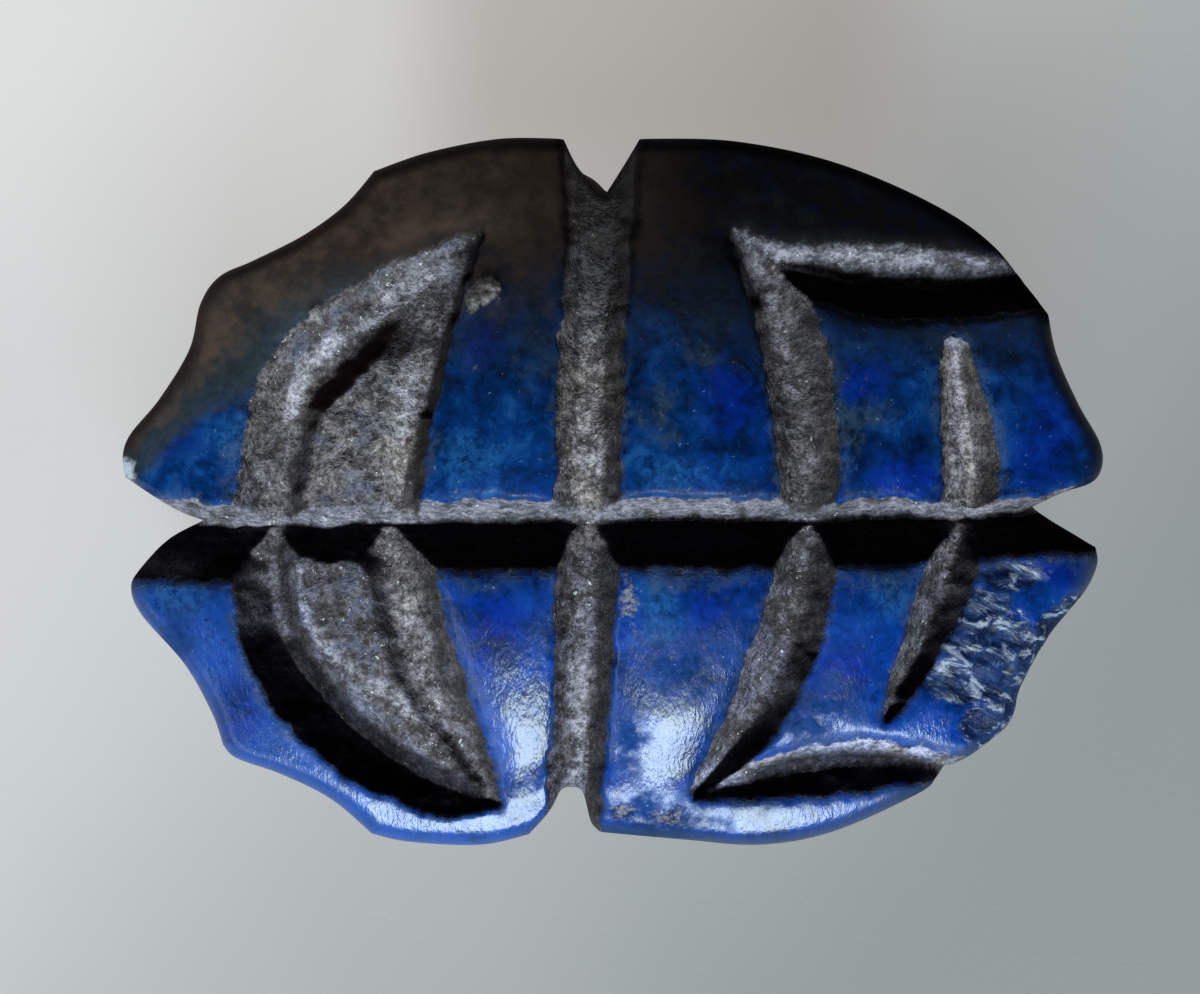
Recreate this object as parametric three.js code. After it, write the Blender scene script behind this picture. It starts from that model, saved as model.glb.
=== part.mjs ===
// A small scarab amulet cut from one piece of lapis lazuli: a low domed stone with a scalloped edge,
// a flat underside, and a face divided by deep grooves into blue blocks.
// Millimetres. +X runs along the length, +Y across it, +Z up from the flat underside.
import * as THREE from 'three';
import { mergeGeometries, mergeVertices } from 'three/addons/utils/BufferGeometryUtils.js';

// ---- driving sizes ----
const HEIGHT = 7.12; // underside to the top of the uncut dome; the blocks left standing reach 7.0
const SHOULDER = 5.22; // height at which the dome turns over into the side wall
const SHOULDER_ROUND = 0.3; // drop of the rounding between dome and wall
const DOME_POWER = 1.9; // 2 is an even curve; more makes the middle flatter
const DOME_STRAIGHT = 0.8; // share of the reach beyond which the dome runs straight down to its rim
const DOME_LIMIT = 1.05; // furthest reach at which the dome still falls
const BASE_SCALE = 0.88; // size of the underside against the widest line
const FOOT_HEIGHT = 0.3; // height of the small rounding round the underside
const FOOT_TUCK = 0.02; // how far that rounding draws the underside in, as a share of its reach
const WALL_BELLY = 1.6; // the wall drops nearly upright at first, then draws in
const NOTCH_FADE = 0.68; // how much of the scallops and notches is gone at the underside
const HULL = { x: 9.1, y: 6.6, power: 2.35 }; // the plain oval that the scallops are cut into
const CENTRE = new THREE.Vector2(-0.45, -0.53); // where the long and the cross groove meet

const CELLS_LONG = 68; // grid of the carved face
const CELLS_ACROSS = 48;
const ROUND = 2 * (CELLS_LONG + CELLS_ACROSS); // steps round the edge
const WALL_STEPS = 5; // rings from the widest line to the underside
const LAST_RING = 0.94; // how far down the wall the last ring above the underside lies
const SCALLOP_START = 0.4; // share of the reach inside which the grid keeps to the plain oval

// ---- the edge, seen from above: smooth runs between corners, anticlockwise from the right notch ----
// Each run has its number of steps and its points; the last point is the first of the next run.
const EDGE = [
  { steps: 18, points: [[7.8, -0.3], [8.3, -0.05], [8.85, 0.15], [9.05, 0.45], [9, 0.9], [8.6, 1.6],
    [8.2, 2.5], [8.05, 3.25]] },
  { steps: 35, points: [[8.05, 3.25], [7.55, 4], [6.35, 5.05], [4.3, 6], [2.3, 6.45], [0.5, 6.5]] },
  { steps: 5, points: [[0.5, 6.5], [0.25, 6.1], [-0.1, 5.55]] },
  { steps: 5, points: [[-0.1, 5.55], [-0.6, 5.95], [-0.9, 6.5]] },
  { steps: 15, points: [[-0.9, 6.5], [-2.1, 6.5], [-3.4, 6.25], [-4.4, 5.9]] },
  { steps: 32, points: [[-4.4, 5.9], [-4.95, 5.25], [-5.7, 4.7], [-6.6, 4.25], [-7.25, 3.95],
    [-7.6, 3.45], [-7.8, 2.6], [-8.35, 1.7], [-8.9, 1.05], [-9.05, 0.65], [-9, 0.25]] },
  { steps: 6, points: [[-9, 0.25], [-8.55, -0.05], [-8, -0.4], [-7.6, -0.55]] },
  { steps: 23, points: [[-7.6, -0.55], [-8.25, -0.9], [-8.75, -1.45], [-8.9, -1.8], [-8.7, -2.3],
    [-7.9, -3.2], [-7.4, -4.1], [-7.2, -4.7]] },
  { steps: 15, points: [[-7.2, -4.7], [-6.95, -4.95], [-6.1, -5.25], [-5.2, -5.7], [-4.45, -6.35]] },
  { steps: 14, points: [[-4.45, -6.35], [-3.75, -6.5], [-2.45, -6.55], [-1.55, -6.35]] },
  { steps: 6, points: [[-1.55, -6.35], [-1.15, -5.9], [-0.95, -5.55], [-0.75, -5.5]] },
  { steps: 5, points: [[-0.75, -5.5], [-0.55, -5.6], [-0.4, -6.15], [-0.25, -6.3]] },
  { steps: 27, points: [[-0.25, -6.3], [1.35, -6.45], [2.75, -6.55], [4.1, -6.3], [5.65, -5.6],
    [6, -5.3], [6.15, -5.1]] },
  { steps: 7, points: [[6.15, -5.1], [6.45, -5], [7.25, -4.4], [7.45, -4]] },
  { steps: 13, points: [[7.45, -4], [7.55, -3.6], [8.05, -2.7], [8.7, -1.9], [8.95, -1.4],
    [8.95, -1.05]] },
  { steps: 6, points: [[8.95, -1.05], [8.15, -0.55], [7.8, -0.3]] },
];

// ---- the grooves: stations [x, y, half width, depth] along each route ----
// lean moves the deepest line to the left (+) or right (-) of the way the route runs;
// power is the section: 1.3 is nearly a V, 4 is a flat floor between steep walls.
const GROOVES = {
  long: { lean: 0.42, power: 1.2, stations: [[-9.6, -0.85, 1.1, 1.1], [-8.55, -0.9, 0.8, 1.1],
    [-6.7, -0.97, 0.75, 1.1], [-4, -0.88, 0.7, 1.1], [-0.25, -0.82, 0.68, 1.15],
    [4.95, -0.78, 0.65, 1.15], [7.2, -0.68, 0.55, 1.1], [9.4, -0.5, 0.7, 1.1]] },
  crossUpper: { lean: 0, power: 2.6, stations: [[-0.2, 7, 0.8, 1], [-0.2, 5.55, 0.68, 0.95],
    [-0.2, 4.6, 0.66, 0.9], [-0.35, 3.1, 0.62, 0.9], [-0.45, 0.2, 0.62, 0.9], [-0.46, -0.6, 0.6, 0.95]] },
  crossLower: { lean: 0, power: 2.6, stations: [[-0.46, -0.7, 0.6, 1.1], [-0.5, -2, 0.56, 1.05],
    [-0.55, -3.9, 0.52, 0.95], [-0.7, -5.55, 0.5, 0.9], [-0.75, -7, 0.55, 0.9]] },
  bowUpper: { lean: -0.25, power: 2, stations: [[2.4, 4.6, 0.28, 0.45], [2.8, 4, 0.5, 0.8],
    [3.2, 3, 0.6, 0.9], [3.45, 1.7, 0.63, 0.9], [3.55, 0.75, 0.62, 0.9], [3.6, -0.5, 0.55, 0.95]] },
  bowLower: { lean: 0, power: 1.9, stations: [[3.6, -0.7, 0.55, 1.1], [3.3, -2.4, 0.62, 1.05],
    [2.75, -3.8, 0.58, 0.95], [2.25, -4.7, 0.45, 0.75], [1.6, -5.5, 0.2, 0.4]] },
  channelUpper: { lean: 0, power: 1.25, stations: [[2.5, 4.45, 0.25, 0.4], [3.3, 4.1, 0.55, 0.75],
    [4.4, 3.9, 0.76, 0.95], [5.7, 3.8, 0.76, 0.95], [6.8, 3.8, 0.66, 0.85], [8.6, 3.85, 0.5, 0.7]] },
  channelLower: { lean: 0, power: 1.3, stations: [[1.7, -5.55, 0.15, 0.2], [2.55, -5.35, 0.38, 0.5],
    [3.65, -5.15, 0.52, 0.7], [4.6, -5.05, 0.52, 0.7], [5.5, -5.05, 0.4, 0.55],
    [6.6, -5.2, 0.25, 0.35]] },
  tailUpper: { lean: 0, power: 1.8, stations: [[6.3, 2.5, 0.33, 0.6], [6.4, 1.7, 0.46, 0.8],
    [6.55, 0.75, 0.55, 0.85], [6.55, -0.5, 0.52, 0.9]] },
  tailLower: { lean: 0, power: 1.7, stations: [[6.45, -0.7, 0.5, 1.05], [6.05, -1.85, 0.5, 0.95],
    [5.7, -2.75, 0.4, 0.75], [5.3, -3.6, 0.28, 0.5], [5.05, -4.1, 0.15, 0.25]] },
  crescentUpper: { lean: -0.3, power: 1.7, stations: [[-6.3, -0.6, 0.72, 1], [-6.2, 0.2, 0.74, 1],
    [-5.87, 1.7, 0.76, 1], [-5.1, 2.6, 0.82, 1], [-4.25, 3.35, 0.76, 0.85], [-3.4, 4, 0.5, 0.7],
    [-2.5, 4.7, 0.12, 0.2]] },
  crescentLower: { lean: 0.1, power: 1.6, stations: [[-6.3, -0.7, 0.68, 1.1], [-6.25, -2.4, 0.7, 1.15],
    [-5.6, -3.6, 0.76, 1.15], [-4.6, -4.6, 0.76, 1.1], [-3.4, -5.35, 0.52, 0.8],
    [-2.15, -5.75, 0.14, 0.25]] },
  innerUpper: { lean: -0.7, power: 1.8, stations: [[-4.1, -0.4, 0.6, 0.95], [-4, 0.65, 0.63, 0.85],
    [-3.85, 1.7, 0.66, 0.85], [-3.5, 2.8, 0.6, 0.8], [-3.1, 3.7, 0.4, 0.7], [-2.5, 4.65, 0.1, 0.2]] },
  innerLower: { lean: -0.2, power: 2.1, stations: [[-4, -0.8, 0.65, 1.05], [-3.8, -2.2, 0.74, 0.9],
    [-3.35, -3.5, 0.7, 0.85], [-2.7, -4.7, 0.44, 0.7], [-2.15, -5.7, 0.12, 0.2]] },
  bedUpper: { lean: 0, power: 5, stations: [[-5.25, -0.6, 1.7, 0.45], [-4.85, 1.7, 1.6, 0.45],
    [-4.4, 2.4, 1.35, 0.5], [-3.85, 3.2, 1, 0.95], [-3.3, 3.85, 0.65, 0.8], [-2.5, 4.65, 0.1, 0.15]] },
  bedLower: { lean: 0, power: 6, stations: [[-5.25, -0.7, 1.7, 0.45], [-5.05, -2, 1.75, 0.45],
    [-4.65, -2.95, 1.65, 0.45], [-3.85, -4.35, 1.3, 0.45], [-3.1, -5.3, 0.8, 0.4],
    [-2.15, -5.7, 0.1, 0.15]] },
};
const ROUTE_STEPS = 8; // short straight steps between two stations of a groove
const BED_POWER = 5; // grooves this flat are sunk beds whose lips belong to the grooves in them
const SETTLE = 0.125; // furthest a grid point moves to meet a lip or a deepest line
const SETTLE_INSIDE = 0.95; // the outermost cells keep their places
const CLEAR = 0.1; // a lip counts where no other groove has cut it away by more than this

// Wear beside the grooves: each block falls off towards its lips by this drop, over this reach, and
// the fall-off fades between these two shares of the way out, so that the rim keeps its slope.
const PILLOW = { drop: 0.16, reach: 0.6, blend: 4, fadeStart: 0.72, fadeEnd: 0.88 };
// The broken face on the lower right lobe: patches [x, y, half length, half width] sunk together.
const SCARS = [[6.65, -2.1, 0.7, 0.5], [6.85, -2.8, 0.9, 0.7], [6.4, -3.5, 0.85, 0.55],
  [7.2, -3.6, 0.7, 0.7], [6.9, -4.3, 0.7, 0.5], [7.2, -1.6, 0.7, 0.3], [8.15, -2.5, 0.35, 0.45],
  [7.75, -3.0, 0.5, 0.5], [8.5, -2.05, 0.3, 0.3]];
const SCAR = { depth: 0.12, rim: 0.25, floor: 0.85 };
// The unworn lump low in the left side of the top notch.
const LUMP = { x: -0.35, half: 0.3, reach: 0.15, height: 3.5, tall: 1.4 };

const LAPIS = { color: 0x1f3f8f, roughness: 0.45, metalness: 0.0 };

// ---- small helpers ----
const { clamp, lerp, smoothstep } = THREE.MathUtils;

// The edge as one closed list of ROUND points, so that every corner is one of them.
const edgePoints = EDGE.flatMap(({ steps, points }) => {
  const run = new THREE.SplineCurve(points.map(([x, y]) => new THREE.Vector2(x, y)));
  return run.getSpacedPoints(steps).slice(0, -1);
});

function edgeAt(step) {
  const whole = Math.floor(step);
  const from = edgePoints[(whole + ROUND) % ROUND];
  const to = edgePoints[(whole + 1 + ROUND) % ROUND];
  return new THREE.Vector2().lerpVectors(from, to, step - whole);
}

// How far out a point lies on the plain oval: 0 in the middle, 1 on the oval.
function ovalReach(x, y) {
  const sum = Math.abs(x / HULL.x) ** HULL.power + Math.abs(y / HULL.y) ** HULL.power;
  return sum ** (1 / HULL.power);
}

// The point on the plain oval that lies in the same direction from the centre as an edge point.
function ovalBeyond(edge) {
  let near = 0;
  let far = 2;
  const out = new THREE.Vector2();
  for (let turn = 0; turn < 24; turn += 1) {
    const middle = (near + far) / 2;
    out.copy(edge).sub(CENTRE).multiplyScalar(middle).add(CENTRE);
    if (ovalReach(out.x, out.y) > 1) far = middle;
    else near = middle;
  }
  return out;
}

// ---- carving ----
// A groove's route cut into short straight steps, each end with its half width and depth.
function routeOf({ stations }) {
  const line = new THREE.SplineCurve(stations.map(([x, y]) => new THREE.Vector2(x, y)));
  const last = stations.length - 1;
  return Array.from({ length: last * ROUTE_STEPS + 1 }, (_, index) => {
    const place = index / ROUTE_STEPS;
    const before = Math.min(Math.floor(place), last - 1);
    const part = place - before;
    const point = line.getPoint(place / last);
    return {
      x: point.x,
      y: point.y,
      half: lerp(stations[before][2], stations[before + 1][2], part),
      depth: lerp(stations[before][3], stations[before + 1][3], part),
    };
  });
}

// The section of a groove: 1 on the deepest line, 0 at both lips and outside.
function section(offset, lean, power) {
  const side = offset > lean ? (offset - lean) / (1 - lean) : (lean - offset) / (1 + lean);
  return side >= 1 ? 0 : 1 - side ** power;
}

// The nearest point of a groove's route: how far off it lies, on which side, and its size there.
function nearestOnRoute(route, x, y) {
  let nearest = { gap: Infinity };
  for (let index = 1; index < route.length; index += 1) {
    const from = route[index - 1];
    const to = route[index];
    const along = new THREE.Vector2(to.x - from.x, to.y - from.y);
    const away = new THREE.Vector2(x - from.x, y - from.y);
    const part = clamp(along.dot(away) / along.lengthSq(), 0, 1);
    const side = Math.sign(along.cross(away));
    away.addScaledVector(along, -part);
    const gap = away.length();
    if (gap < nearest.gap) {
      const half = lerp(from.half, to.half, part);
      nearest = { gap, side, away, half, depth: lerp(from.depth, to.depth, part) };
    }
  }
  return nearest;
}

function grooveDepth({ route, lean, power }, x, y) {
  const { gap, side, half, depth } = nearestOnRoute(route, x, y);
  return depth * section(side * gap / half, lean, power);
}

const grooves = Object.values(GROOVES).map((groove) => ({ ...groove, route: routeOf(groove) }));

function scarDepth(x, y) {
  const patches = SCARS.map(([middleX, middleY, long, wide]) => (
    Math.exp(-(((x - middleX) / long) ** 2) - ((y - middleY) / wide) ** 2)));
  return SCAR.depth * smoothstep(Math.max(...patches), SCAR.rim, SCAR.floor);
}

function carvedDepth(x, y) {
  const cuts = grooves.map((groove) => grooveDepth(groove, x, y));
  return Math.max(...cuts) + scarDepth(x, y);
}

// How far a block has worn down beside the grooves; inside a groove it is the full drop.
function pillowDrop(x, y) {
  const sum = grooves.reduce((total, { route }) => {
    const { gap, half } = nearestOnRoute(route, x, y);
    return total + Math.exp(-PILLOW.blend * Math.max(gap - half, 0) / PILLOW.reach);
  }, 0);
  return PILLOW.drop * sum ** (1 / PILLOW.blend);
}

// A point of the grid moves onto a lip or a deepest line that passes close by, so that edges run clean.
function settled(place) {
  let best = { size: SETTLE };
  grooves.filter(({ power }) => power < BED_POWER).forEach((groove) => {
    const { gap, side, away, half } = nearestOnRoute(groove.route, place.x, place.y);
    [side, groove.lean].forEach((line) => {
      const move = line * half * side - gap;
      if (Math.abs(move) >= best.size) return;
      const target = away.clone().setLength(move).add(place);
      const over = Math.max(...grooves.map((other) => grooveDepth(other, target.x, target.y)));
      const own = grooveDepth(groove, target.x, target.y);
      if (over < own + CLEAR / 2 || (line === side && over < CLEAR)) best = { size: Math.abs(move), target };
    });
  });
  return best.target ?? place;
}

// ---- the surface ----
// Height of the carved face; out runs from 0 in the middle to 1 on the edge.
function faceHeight(x, y, out, reachHere) {
  const reach = Math.min(ovalReach(x, y), DOME_LIMIT);
  const curved = Math.min(reach, DOME_STRAIGHT) ** DOME_POWER;
  const slope = DOME_POWER * DOME_STRAIGHT ** (DOME_POWER - 1);
  const dome = (HEIGHT - SHOULDER) * (1 - curved - slope * Math.max(reach - DOME_STRAIGHT, 0));
  const inside = (1 - out) * reachHere;
  const over = clamp(1 - inside / SHOULDER_ROUND, 0, 1);
  const round = SHOULDER_ROUND * (1 - Math.sqrt(1 - over ** 2));
  const worn = pillowDrop(x, y) * (1 - smoothstep(out, PILLOW.fadeStart, PILLOW.fadeEnd));
  return SHOULDER + dome - round - worn - carvedDepth(x, y);
}

// A point of the carved face, from its place on the square grid (-1 to 1 each way).
function facePoint(u, v) {
  const out = Math.max(Math.abs(u), Math.abs(v));
  if (out === 0) return new THREE.Vector3(CENTRE.x, CENTRE.y, faceHeight(CENTRE.x, CENTRE.y, 0, HULL.y));
  const step = stepRound(u / out, v / out);
  if (out === 1) return wallPoint(Math.round(step), 0);
  const edge = edgeAt(step);
  const place = ovalBeyond(edge).lerp(edge, smoothstep(out, SCALLOP_START, 1));
  place.sub(CENTRE).multiplyScalar(out).add(CENTRE);
  if (out < SETTLE_INSIDE) place.copy(settled(place));
  return new THREE.Vector3(place.x, place.y, faceHeight(place.x, place.y, out, edge.distanceTo(CENTRE)));
}

// Steps round the grid's border from the middle of its right side to a point on that border.
function stepRound(u, v) {
  const up = CELLS_ACROSS / 2;
  const along = CELLS_LONG / 2;
  if (u >= 1) return v * up;
  if (v >= 1) return up + (1 - u) * along;
  if (u <= -1) return up + CELLS_LONG + (1 - v) * up;
  return up + CELLS_LONG + CELLS_ACROSS + (1 + u) * along;
}

// A point of the side wall: step round the edge, and down from 0 (widest line) to 1 (underside).
function wallPoint(step, down) {
  const edge = edgeAt(step);
  const plain = ovalBeyond(edge);
  const top = faceHeight(edge.x, edge.y, 1, edge.distanceTo(CENTRE));
  const height = top * (1 - down);
  const foot = 1 - clamp(height / FOOT_HEIGHT, 0, 1);
  const scale = lerp(1, BASE_SCALE, down ** WALL_BELLY) - FOOT_TUCK * foot;
  const place = edge.lerp(plain, NOTCH_FADE * smoothstep(down, 0.15, 1)).sub(CENTRE);
  place.multiplyScalar(scale).add(CENTRE);
  if (place.y > 0) place.y += lumpReach(place.x, height) * smoothstep(down, 0, 1 / WALL_STEPS);
  return new THREE.Vector3(place.x, place.y, height);
}

function lumpReach(x, height) {
  const across = (x - LUMP.x) / LUMP.half;
  const up = (height - LUMP.height) / LUMP.tall;
  return LUMP.reach * Math.exp(-(across ** 2) - up ** 2);
}

// ---- three sheets, joined along their shared edges ----
function carvedFace() {
  const sheet = new THREE.PlaneGeometry(2, 2, CELLS_LONG, CELLS_ACROSS);
  const at = sheet.attributes.position;
  for (let index = 0; index < at.count; index += 1) {
    const point = facePoint(at.getX(index), at.getY(index));
    at.setXYZ(index, point.x, point.y, point.z);
  }
  turnDiagonals(sheet);
  return sheet;
}

// Each cell of the face is split along the diagonal that lies closer to the carving.
function turnDiagonals(sheet) {
  const at = sheet.attributes.position;
  const cut = Array.from({ length: at.count }, (_, index) => carvedDepth(at.getX(index), at.getY(index)));
  const miss = (one, other) => {
    const x = (at.getX(one) + at.getX(other)) / 2;
    const y = (at.getY(one) + at.getY(other)) / 2;
    return Math.abs((cut[one] + cut[other]) / 2 - carvedDepth(x, y));
  };
  const faces = [];
  for (let row = 0; row < CELLS_ACROSS; row += 1) {
    for (let column = 0; column < CELLS_LONG; column += 1) {
      const a = column + (CELLS_LONG + 1) * row;
      const b = a + CELLS_LONG + 1;
      const [c, d] = [b + 1, a + 1];
      faces.push(...(miss(a, c) < miss(b, d) ? [a, b, c, a, c, d] : [a, b, d, b, c, d]));
    }
  }
  sheet.setIndex(faces);
}

function sideWall() {
  const sheet = new THREE.CylinderGeometry(1, 1, 1, ROUND, WALL_STEPS, true);
  const { position, uv } = sheet.attributes;
  for (let index = 0; index < position.count; index += 1) {
    const point = wallPoint(Math.round(uv.getX(index) * ROUND), wallLevel(1 - uv.getY(index)));
    position.setXYZ(index, point.x, point.y, point.z);
  }
  return sheet;
}

// The lowest ring but one sits just above the underside, to form its rounded foot.
function wallLevel(down) {
  return down > 1 - 1e-6 ? 1 : LAST_RING * down * WALL_STEPS / (WALL_STEPS - 1);
}

function underside() {
  const sheet = new THREE.CircleGeometry(1, ROUND);
  const at = sheet.attributes.position;
  at.setXYZ(0, 0, 0, 0);
  for (let index = 1; index < at.count; index += 1) {
    const point = wallPoint(ROUND - (index - 1), 1);
    at.setXYZ(index, point.x, point.y, point.z);
  }
  return sheet;
}

function stoneGeometry() {
  const sheets = [carvedFace(), sideWall(), underside()];
  sheets.forEach((sheet) => {
    sheet.deleteAttribute('normal');
    sheet.deleteAttribute('uv');
  });
  const stone = mergeVertices(mergeGeometries(sheets), 1e-4);
  stone.computeBoundingBox();
  const middle = stone.boundingBox.getCenter(new THREE.Vector3());
  stone.translate(-middle.x, -middle.y, 0);
  stone.computeVertexNormals();
  return stone;
}

const stone = new THREE.Mesh(stoneGeometry(), new THREE.MeshStandardMaterial(LAPIS));
stone.name = 'scarab_stone';

const amulet = new THREE.Group();
amulet.add(stone);

export default amulet;
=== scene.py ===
# %% [markdown]
# # A scarab amulet of lapis lazuli
# The real thing is an amulet the size of a bead, 18 mm long, cut from one piece of lapis lazuli. Its face
# is a low dome divided into blue blocks by ground grooves, its edge is scalloped, and its underside is
# flat. The blocks keep a worn polish; the grooves are frosted by the grinding grit and hold old dirt.
# Everything here is in metres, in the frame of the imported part, and the stone stands on z = 0.

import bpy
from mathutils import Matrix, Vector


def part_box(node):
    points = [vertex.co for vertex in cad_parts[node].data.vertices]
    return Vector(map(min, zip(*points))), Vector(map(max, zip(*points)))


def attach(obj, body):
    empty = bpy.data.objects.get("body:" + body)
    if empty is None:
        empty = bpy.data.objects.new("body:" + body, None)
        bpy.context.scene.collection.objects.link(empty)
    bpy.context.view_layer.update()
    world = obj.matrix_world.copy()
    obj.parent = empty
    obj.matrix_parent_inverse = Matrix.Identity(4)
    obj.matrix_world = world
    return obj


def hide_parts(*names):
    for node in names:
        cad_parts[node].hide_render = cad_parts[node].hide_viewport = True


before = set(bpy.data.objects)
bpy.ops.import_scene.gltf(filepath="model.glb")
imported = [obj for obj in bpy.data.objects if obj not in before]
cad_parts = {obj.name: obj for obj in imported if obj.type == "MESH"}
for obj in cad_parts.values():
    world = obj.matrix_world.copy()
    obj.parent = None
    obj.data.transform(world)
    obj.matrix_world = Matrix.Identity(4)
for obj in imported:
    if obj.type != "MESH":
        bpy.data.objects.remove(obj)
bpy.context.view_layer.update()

import math
from types import SimpleNamespace

import bmesh
import bpy
import numpy as np
from mathutils import Vector, noise

MM = 0.001
low, high = (Vector(corner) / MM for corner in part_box("scarab_stone"))
print("solid stone, mm:", [round(value, 2) for value in high - low])

# %% [markdown]
# ## Sizes
# The stone is worked out in millimetres from a few driving sizes, because grooves half a millimetre
# wide are easier to think about that way. They are the sizes of the solid; only its place comes from the
# frame, and the relief here is finer.

# %% Driving sizes, in millimetres
HEIGHT = 7.12  # underside to the top of the uncut dome; the blocks left standing reach 7.0
SHOULDER = 5.22  # where the dome turns over into the side wall
SHOULDER_ROUND = 0.3  # drop of that rounding
DOME_POWER = 1.9  # 2 is an even curve; less makes the flanks straighter
DOME_STRAIGHT = 0.8  # share of the reach beyond which the dome runs straight down to its rim
BASE_SCALE = 0.88  # underside against the widest line
WALL_BELLY = 1.6  # the wall drops nearly upright at first, then draws in
FOOT_HEIGHT = 0.3  # small rounding round the underside
FOOT_TUCK = 0.02
NOTCH_FADE = 0.68  # how much of the scallops and notches is gone at the underside
OVAL = (9.1, 6.6, 2.35)  # half length, half width and power of the plain oval
CENTRE = np.array([-0.45, -0.53])  # where the long and the cross groove meet

FINER = 5  # fine steps to one step of the solid
CELLS_LONG = 68 * FINER
CELLS_ACROSS = 48 * FINER
ROUND = 2 * (CELLS_LONG + CELLS_ACROSS)
WALL_RINGS = 12
BASE_RINGS = 3
print("grid", CELLS_LONG, "by", CELLS_ACROSS, "and", ROUND, "steps round the edge")

# %% [markdown]
# ## The edge
# Seen from above the edge is a chain of smooth runs between sharp corners: the notches where grooves
# run out, and the small teeth between scallops. Each run is a curve through a few chosen points, with
# its own number of steps, so that a corner always falls on a point of the mesh.

# %% The runs of the edge, anticlockwise from the right notch
EDGE = [
    (18, [(7.8, -0.3), (8.3, -0.05), (8.85, 0.15), (9.05, 0.45), (9, 0.9), (8.6, 1.6), (8.2, 2.5),
          (8.05, 3.25)]),
    (35, [(8.05, 3.25), (7.55, 4), (6.35, 5.05), (4.3, 6), (2.3, 6.45), (0.5, 6.5)]),
    (5, [(0.5, 6.5), (0.25, 6.1), (-0.1, 5.55)]),
    (5, [(-0.1, 5.55), (-0.6, 5.95), (-0.9, 6.5)]),
    (15, [(-0.9, 6.5), (-2.1, 6.5), (-3.4, 6.25), (-4.4, 5.9)]),
    (32, [(-4.4, 5.9), (-4.95, 5.25), (-5.7, 4.7), (-6.6, 4.25), (-7.25, 3.95), (-7.6, 3.45),
          (-7.8, 2.6), (-8.35, 1.7), (-8.9, 1.05), (-9.05, 0.65), (-9, 0.25)]),
    (6, [(-9, 0.25), (-8.55, -0.05), (-8, -0.4), (-7.6, -0.55)]),
    (23, [(-7.6, -0.55), (-8.25, -0.9), (-8.75, -1.45), (-8.9, -1.8), (-8.7, -2.3), (-7.9, -3.2),
          (-7.4, -4.1), (-7.2, -4.7)]),
    (15, [(-7.2, -4.7), (-6.95, -4.95), (-6.1, -5.25), (-5.2, -5.7), (-4.45, -6.35)]),
    (14, [(-4.45, -6.35), (-3.75, -6.5), (-2.45, -6.55), (-1.55, -6.35)]),
    (6, [(-1.55, -6.35), (-1.15, -5.9), (-0.95, -5.55), (-0.75, -5.5)]),
    (5, [(-0.75, -5.5), (-0.55, -5.6), (-0.4, -6.15), (-0.25, -6.3)]),
    (27, [(-0.25, -6.3), (1.35, -6.45), (2.75, -6.55), (4.1, -6.3), (5.65, -5.6), (6, -5.3),
          (6.15, -5.1)]),
    (7, [(6.15, -5.1), (6.45, -5), (7.25, -4.4), (7.45, -4)]),
    (13, [(7.45, -4), (7.55, -3.6), (8.05, -2.7), (8.7, -1.9), (8.95, -1.4), (8.95, -1.05)]),
    (6, [(8.95, -1.05), (8.15, -0.55), (7.8, -0.3)]),
]


def curve_through(points, places):
    """Points of a smooth curve at places from 0 (first point) to len(points) - 1 (last)."""
    points = np.asarray(points, float)
    last = len(points) - 1
    before = np.minimum(places.astype(int), last - 1)
    part = (places - before)[:, None]
    p0, p1 = points[np.maximum(before - 1, 0)], points[before]
    p2, p3 = points[before + 1], points[np.minimum(before + 2, last)]
    start, end = (p2 - p0) / 2, (p3 - p1) / 2
    cube = 2 * p1 - 2 * p2 + start + end
    square = -3 * p1 + 3 * p2 - 2 * start - end
    return ((cube * part + square) * part + start) * part + p1


def even_run(steps, points):
    """A run cut into steps of equal length, without its last point."""
    dense = curve_through(points, np.linspace(0, len(points) - 1, 40 * len(points)))
    reach = np.r_[0, np.cumsum(np.hypot(*np.diff(dense, axis=0).T))]
    wanted = np.linspace(0, reach[-1], steps + 1)[:-1]
    return np.stack([np.interp(wanted, reach, dense[:, axis]) for axis in (0, 1)], axis=1)


edge_points = np.concatenate([even_run(steps * FINER, points) for steps, points in EDGE])
print("edge points", len(edge_points))

# %% [markdown]
# ## The grooves
# A lapidary grinds a groove with a wheel or a wire and grit, so every groove is a route with a section
# that grows and shrinks. One short table of stations gives each route: place, half width and depth.
# `lean` puts the deepest line off centre, and `power` runs from a V (1.3) to a flat floor (4 and up).
# Sunk beds are very flat grooves: one lies under the crescent, and the rough rib stands up from it.

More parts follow.
